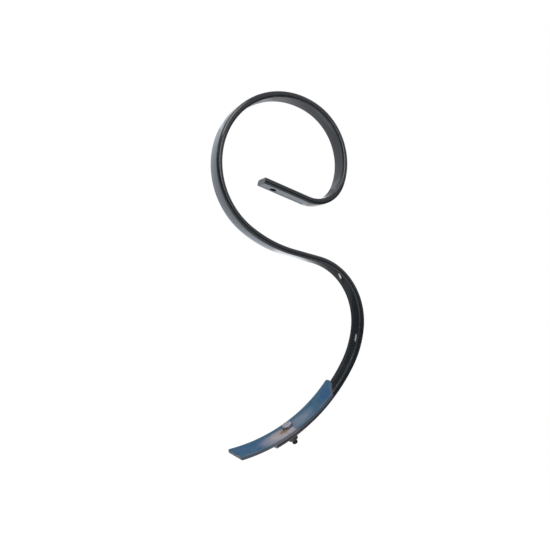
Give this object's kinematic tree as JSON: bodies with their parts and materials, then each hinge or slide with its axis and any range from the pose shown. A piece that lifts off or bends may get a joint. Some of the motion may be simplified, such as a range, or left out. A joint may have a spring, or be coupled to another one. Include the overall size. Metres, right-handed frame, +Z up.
{
  "type": "cultivator spring tine",
  "caption": "Spring tine of flat bar with a coiled upper end, a clamp hole, a forward-curving leg and a curved share bolted on its front.",
  "frame": {"origin": "centre of the clamp hole on the seat's upper face", "axes": "+Z up, out of the seat's upper face; -X is the way the tine is drawn; Y along the width of the bar"},
  "size_m": [0.3862, 0.0598, 0.659],
  "materials": {
    "bar_paint": "gloss black paint on spring steel",
    "share_paint": "blue paint, worn and lightly rusted round the bolt",
    "bolt_steel": "zinc-plated steel",
    "nut_steel": "dull dark steel"
  },
  "bodies": {
    "root": {"spring_bar": "bar_paint", "share": "share_paint", "share_bolt": "bolt_steel", "share_nut": "nut_steel"}
  },
  "joints": []
}
